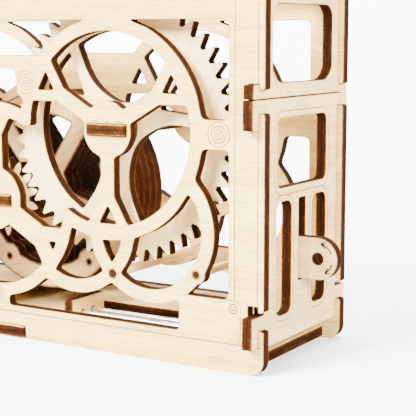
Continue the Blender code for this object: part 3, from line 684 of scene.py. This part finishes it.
def turned_pin(name, node, along, chamfer, finishes, body):
    """A round pin with chamfered ends: the side takes the first finish and the ends the second."""
    low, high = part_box(node)
    others = [axis for axis in range(3) if axis != along]
    centre = (low + high) / 2
    radius = (high - low)[others[0]] / 2
    length = (high - low)[along]
    shape = bmesh.new()
    rings = []
    for reach, size in ((0.0, radius - chamfer), (chamfer, radius), (length - chamfer, radius),
                        (length, radius - chamfer)):
        ring = []
        for i in range(PIN_SIDES):
            angle = math.tau * i / PIN_SIDES
            spot = [0.0, 0.0, 0.0]
            spot[along] = low[along] + reach
            spot[others[0]] = centre[others[0]] + size * math.cos(angle)
            spot[others[1]] = centre[others[1]] + size * math.sin(angle)
            ring.append(shape.verts.new(spot))
        rings.append(ring)
    for first, second in zip(rings, rings[1:]):
        for i in range(PIN_SIDES):
            j = (i + 1) % PIN_SIDES
            shape.faces.new((first[i], first[j], second[j], second[i]))
    for ring in (rings[0], rings[-1]):
        shape.faces.new(ring).material_index = 1
    bmesh.ops.recalc_face_normals(shape, faces=shape.faces)
    mesh = bpy.data.meshes.new(name)
    shape.to_mesh(mesh)
    shape.free()
    for finish in finishes:
        mesh.materials.append(finish)
    mesh.shade_smooth()
    mesh.set_sharp_from_angle(angle=CREASE)
    piece = bpy.data.objects.new(name, mesh)
    bpy.context.scene.collection.objects.link(piece)
    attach(piece, body)
    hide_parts(node)


def steel_finish():
    """Bright drawn steel with fine lines along X."""
    finish, tree, shader = fresh("drawn steel", 0.22, 0.5)
    shader.inputs["Metallic"].default_value = 1.0
    place = put(tree, "ShaderNodeTexCoord").outputs["Object"]
    drawn = speckle(tree, stretched(tree, place, (60.0, 5000.0, 5000.0)), 1.0, 3.0)
    tree.links.new(blended(tree, spread(tree, drawn, 0.3, 0.7), (0.66, 0.70, 0.75), (0.76, 0.79, 0.83)),
                   shader.inputs["Base Color"])
    tree.links.new(spread(tree, drawn, 0.3, 0.7, 0.20, 0.27), shader.inputs["Roughness"])
    return finish


STEEL = steel_finish()
for row in ("front", "back"):
    for side in ("right", "left"):
        node = f"steel_rod_{row}_{side}"
        turned_pin(f"{node}_bright", node, 0, ROD_CHAMFER, [STEEL, STEEL], "frame")

# ---- Side panels ---------------------------------------------------------------------------------
# Each end is closed by a tall sheet with a window and three slots, and by an open sheet above it.
# Their hooked tabs reach through the front and back panels, and scorched lines frame the openings.
WINDOW_LINE = ((-16.3 * MM, 46.9 * MM), (16.3 * MM, 69.3 * MM))
SLOT_LINES = (((-16.4 * MM, 12.3 * MM), (-4.8 * MM, 46.9 * MM)),
              ((4.7 * MM, 12.3 * MM), (16.3 * MM, 46.9 * MM)))
side_veneer = veneer("side birch veneer", (0.92, 0.64, 0.28), (0.52, 0.30, 0.11),
                     turn=(0.0, 0.0, 90.0), seed=7.7)
for side in ("right", "left"):
    for node in (f"side_panel_{side}", f"upper_side_{side}"):
        ply_piece(node, 0, [side_veneer, brown_edge], "frame")
    low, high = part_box(f"side_panel_{side}")
    face = high.x if side == "right" else low.x
    outlines = [(rounded_box(*WINDOW_LINE, 4 * MM), True)]
    outlines += [(rounded_box(*slot_line, 5 * MM), True) for slot_line in SLOT_LINES]
    engraved(f"side_scorched_lines_{side}", outlines, 0, face, "frame")

# ---- Axle bars, bearings, washers and collars ----------------------------------------------------
# Flat plywood bars carry the gears. Slotted discs pushed onto them serve as bearings inside the
# bores and as washers and collars beside them.
bar_veneer = veneer("bar birch veneer", PALE, WARM, turn=(0.0, 0.0, 90.0), seed=9.1)
ring_veneer = veneer("ring birch veneer", PALE, WARM, turn=(0.0, 35.0, 0.0), seed=3.9)
gold_edge = cut_edge("golden bar end", (0.004, 0.0010, 0.0002), (0.036, 0.0115, 0.0014),
                     (0.26, 0.112, 0.014), seed=1.7)
for side in ("right", "left", "centre"):
    ply_piece(f"axle_{side}", 2, [bar_veneer, gold_edge], "frame")
    for ring in ("washer_front", "bearing_front"):
        ply_piece(f"{ring}_{side}", 1, [ring_veneer, brown_edge], "frame")
for node in ("washer_back_right", "washer_back_left", "collar_back_right", "collar_back_left",
             "collar_back_centre", "bearing_back_centre"):
    ply_piece(node, 1, [ring_veneer, brown_edge], "frame")

# ---- Wheels and pinion ---------------------------------------------------------------------------
# Two 50-tooth wheels with three forked spokes, and the 14-tooth pinion between them. Their teeth
# leave the laser with slightly rounded tips. Their faces are painted paler than the frame as painted light.
TOOTH_CORNER = 0.28 * MM
# Painted light: the wheel and pinion veneer is paler than the frame's, so these parts read as lit inside the
# frame.
right_wheel_painted_light_veneer, left_wheel_painted_light_veneer = (
    veneer(f"{side} wheel veneer with painted light", (0.93, 0.72, 0.36), (0.74, 0.50, 0.20), turn=(0.0, turn, 0.0), seed=seed)
    for side, turn, seed in (("right", 62.0, 1.3), ("left", -18.0, 6.1)))
ply_piece("gear_right", 1, [right_wheel_painted_light_veneer, brown_edge], "right_wheel", corner=TOOTH_CORNER)
ply_piece("gear_left", 1, [left_wheel_painted_light_veneer, brown_edge], "left_wheel", corner=TOOTH_CORNER)
ply_piece("pinion", 1, [right_wheel_painted_light_veneer, brown_edge], "drum", corner=TOOTH_CORNER)

# ---- Drum ----------------------------------------------------------------------------------------
# Spacer rings, then six equal discs on the pinion's axis. Five windows and five pin holes go through
# all of them, and their rims are charred to a dark red brown.
DISCS = 6
SPACERS = 4
# A wide burnt band round every cut on the drum discs: partly real char, partly painted shade for the dark
# drum.
CHAR_AND_SHADE_FRINGE = 0.7 * MM
red_edge = cut_edge("dark drum rim", (0.0015, 0.0002, 0.0001), (0.050, 0.0120, 0.0016),
                    (0.110, 0.0300, 0.0040), seed=4.2)
# The drum veneer darkens near-black deep into its fringe: partly real char, partly painted shade.
drum_char_and_shade_veneer = veneer("drum birch veneer with char and painted shade", (0.88, 0.62, 0.28), (0.56, 0.34, 0.12), turn=(0.0, 25.0, 0.0),
                     seed=8.3, fade=0.25, burnt_wood=(0.006, 0.0016, 0.0004))
for i in range(SPACERS):
    ply_piece(f"drum_spacer_{i + 1}", 1, [drum_char_and_shade_veneer, red_edge], "drum")


def stack_tree():
    """Copies of a disc at even steps, its faces and its cut walls each with their own finish."""
    tree, given, made = new_tree("disc stack", [("Count", "Int", DISCS), ("Step", "Vector", None),
                                                ("Finish", "Material", None), ("Edge", "Material", None)])
    row = put(tree, "GeometryNodeMeshLine", {"Count": given.outputs["Count"],
                                             "Offset": given.outputs["Step"]})
    copies = put(tree, "GeometryNodeInstanceOnPoints", {"Points": row.outputs[0],
                                                        "Instance": given.outputs["Geometry"]})
    whole = put(tree, "GeometryNodeRealizeInstances", {"Geometry": copies.outputs[0]})
    faced = put(tree, "GeometryNodeSetMaterial", {"Geometry": whole.outputs[0],
                                                  "Material": given.outputs["Finish"]})
    walls = put(tree, "GeometryNodeInputNamedAttribute", {"Name": "is_edge"}, data_type="BOOLEAN")
    edged = put(tree, "GeometryNodeSetMaterial", {"Geometry": faced.outputs[0],
                                                  "Selection": walls.outputs[0],
                                                  "Material": given.outputs["Edge"]})
    tree.links.new(edged.outputs[0], made.inputs["Geometry"])
    return tree


disc_low, disc_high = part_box("drum_disc_1")
disc_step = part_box("drum_disc_2")[0].y - disc_low.y
disc_outlines = [eased(outline) for outline in rims("drum_disc_1", 1)]
# The discs' wide near-black fringe is partly real char and partly painted shade.
disc = cut_sheet("drum_disc_pattern", disc_outlines, 1, disc_low.y, disc_high.y, [drum_char_and_shade_veneer, red_edge],
                 CUT_CORNER, CHAR_AND_SHADE_FRINGE)
drum = grown("drum_discs_ply", disc, stack_tree(),
             {"Count": DISCS, "Step": [0.0, disc_step, 0.0], "Finish": drum_char_and_shade_veneer, "Edge": red_edge})
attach(drum, "drum")
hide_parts(*(f"drum_disc_{i + 1}" for i in range(DISCS)))

# ---- Finger lever --------------------------------------------------------------------------------
# A flat lever on a pin between two collars. Its drilled ear stands out of the right side, with two
# scorched arrows round the hole that show which way it turns.
lever_veneer = veneer("lever birch veneer", (0.84, 0.60, 0.28), (0.55, 0.34, 0.13), seed=2.8)
ply_piece("lever", 1, [lever_veneer, brown_edge], "finger_lever")
for where in ("front", "back"):
    ply_piece(f"lever_collar_{where}", 1, [ring_veneer, brown_edge], "frame")
lever_low, lever_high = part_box("lever")
EAR_RADIUS = 5.9 * MM
EAR = (lever_high.x - EAR_RADIUS, lever_high.z - EAR_RADIUS)
ARROW_RADIUS = 4.4 * MM
ARROW_LINE = 0.42 * MM
ARROW_HEAD = 1.7 * MM


def arrow(centre, radius, start, end):
    """An arc with a two-stroke head at its far end."""
    shaft = ring_points(centre, radius, start, end, 8.0)
    tip, back = shaft[-1], math.radians(end + (90.0 if end < start else -90.0))
    head = []
    for apart in (0.5, -0.5):
        head.append([(tip[0] + ARROW_HEAD * math.cos(back + apart),
                      tip[1] + ARROW_HEAD * math.sin(back + apart)), tip])
    return [(shaft, False)] + [(stroke, False) for stroke in head]


arrows = arrow(EAR, ARROW_RADIUS, 22.0, 78.0) + arrow(EAR, ARROW_RADIUS, -14.0, -60.0)
engraved("lever_arrows", arrows, 1, lever_low.y, "finger_lever", DEEP_SCORCH, ARROW_LINE)

# ---- Dowels --------------------------------------------------------------------------------------
# Round birch pins from panel to panel: two ties, the lever's pin and its twin on the left.
# They are cut to length by the laser too, so their ends are brown.
DOWEL_CHAMFER = 0.15 * MM


def dowel_finishes():
    """The round side with its long fibres, and the browned end."""
    side, tree, shader = fresh("birch dowel", 0.6, 0.2)
    place = put(tree, "ShaderNodeTexCoord").outputs["Object"]
    fibre = speckle(tree, stretched(tree, place, (2600.0, 60.0, 2600.0)), 1.0, 3.0)
    tree.links.new(blended(tree, spread(tree, fibre, 0.3, 0.7), (0.86, 0.60, 0.24), (0.55, 0.33, 0.11)),
                   shader.inputs["Base Color"])
    end, tree, shader = fresh("brown dowel end", 0.8, 0.05)
    place = put(tree, "ShaderNodeTexCoord").outputs["Object"]
    spots = speckle(tree, stretched(tree, place, (2200.0, 2200.0, 2200.0)), 1.0, 3.0)
    browned = blended(tree, spread(tree, spots, 0.3, 0.7), (0.008, 0.0028, 0.0008), (0.034, 0.0130, 0.0030))
    tree.links.new(browned, shader.inputs["Base Color"])
    return [side, end]


DOWEL = dowel_finishes()
for node in ("tie_dowel_right", "tie_dowel_left", "lever_pin", "corner_dowel_left"):
    turned_pin(f"{node}_birch", node, 1, DOWEL_CHAMFER, DOWEL, "frame")

# ---- Floor, light and camera ---------------------------------------------------------------------
# A pale floor that sweeps up behind the object, broad soft lamps, and the camera at the front right.
AZIMUTH, ELEVATION = math.radians(31.2), math.radians(8.3)
FLOOR_REACH = 1.5
SWEEP = 0.8
WALL_TOP = 3.0
HALF_WIDTH = 4.0
AMBIENT, BACKDROP = 0.35, 16.0


def pale_floor():
    """A matt white sheet that stays mid grey to the light it throws back, so the object keeps its shade."""
    finish, tree, shader = fresh("pale floor", 0.9, 0.1)
    place = put(tree, "ShaderNodeTexCoord").outputs["Object"]
    cloud = speckle(tree, place, 3.0, 2.0)
    white = blended(tree, spread(tree, cloud, 0.3, 0.7), (0.93, 0.93, 0.93), (0.95, 0.95, 0.95))
    seen = put(tree, "ShaderNodeLightPath").outputs["Is Camera Ray"]
    tree.links.new(blended(tree, seen, (0.42, 0.41, 0.40), white), shader.inputs["Base Color"])
    shape = bmesh.new()
    profile = [(-FLOOR_REACH, 0.0), (FLOOR_REACH - SWEEP, 0.0)]
    profile += [(FLOOR_REACH - SWEEP + SWEEP * math.sin(a), SWEEP - SWEEP * math.cos(a))
                for a in (math.radians(7.5 * i) for i in range(1, 13))]
    profile.append((FLOOR_REACH, WALL_TOP))
    rows = [[shape.verts.new((x, y, z)) for y, z in profile] for x in (-HALF_WIDTH, HALF_WIDTH)]
    for i in range(len(profile) - 1):
        shape.faces.new((rows[0][i], rows[1][i], rows[1][i + 1], rows[0][i + 1]))
    mesh = bpy.data.meshes.new("floor")
    shape.to_mesh(mesh)
    shape.free()
    mesh.materials.append(finish)
    mesh.shade_smooth()
    floor = bpy.data.objects.new("floor", mesh)
    floor.rotation_euler.z = AZIMUTH
    bpy.context.scene.collection.objects.link(floor)
    return floor


pale_floor()


def soft_lamp(name, place, size, power, tint, target=(0.0, 0.0, 0.05)):
    """A rectangular lamp aimed at the middle of the object or at another point."""
    data = bpy.data.lights.new(name, "AREA")
    data.shape = "RECTANGLE"
    data.size, data.size_y = size
    data.energy = power
    data.color = tint
    lamp = bpy.data.objects.new(name, data)
    lamp.location = place
    lamp.rotation_euler = (Vector(target) - Vector(place)).to_track_quat("-Z", "Y").to_euler()
    bpy.context.scene.collection.objects.link(lamp)


soft_lamp("key lamp", (-0.5, -1.2, 1.0), (0.7, 0.7), 225.0, (1.0, 0.98, 0.95))
soft_lamp("side lamp", (1.4, -0.7, 0.7), (0.6, 0.6), 125.0, (1.0, 0.98, 0.96))
soft_lamp("top lamp", (0.1, 0.4, 1.6), (1.0, 1.0), 40.0, (1.0, 1.0, 1.0))
soft_lamp("backdrop lamp", (-0.25, 0.35, 1.3), (1.6, 0.5), 150.0, (1.0, 1.0, 1.0), (-0.75, 1.25, 0.35))
world = bpy.data.worlds.new("studio")
world.use_nodes = True
sky = world.node_tree.nodes["Background"]
sky.inputs["Color"].default_value = (1.0, 1.0, 1.0, 1.0)
seen = put(world.node_tree, "ShaderNodeLightPath").outputs["Is Camera Ray"]
strength = spread(world.node_tree, seen, 0.0, 1.0, AMBIENT, BACKDROP)
world.node_tree.links.new(strength, sky.inputs["Strength"])
bpy.context.scene.world = world

view_data = bpy.data.cameras.new("camera")
view_data.lens = 104.45
view_data.sensor_width = 36.0
view_data.clip_start, view_data.clip_end = 0.01, 20.0
camera = bpy.data.objects.new("camera", view_data)
camera.location = (MIDDLE_X + 238.31 * MM, -295.9 * MM, 90.11 * MM)
looking = Vector((-math.sin(AZIMUTH) * math.cos(ELEVATION), math.cos(AZIMUTH) * math.cos(ELEVATION),
                  -math.sin(ELEVATION)))
camera.rotation_euler = looking.to_track_quat("-Z", "Y").to_euler()
bpy.context.scene.collection.objects.link(camera)
bpy.context.scene.camera = camera
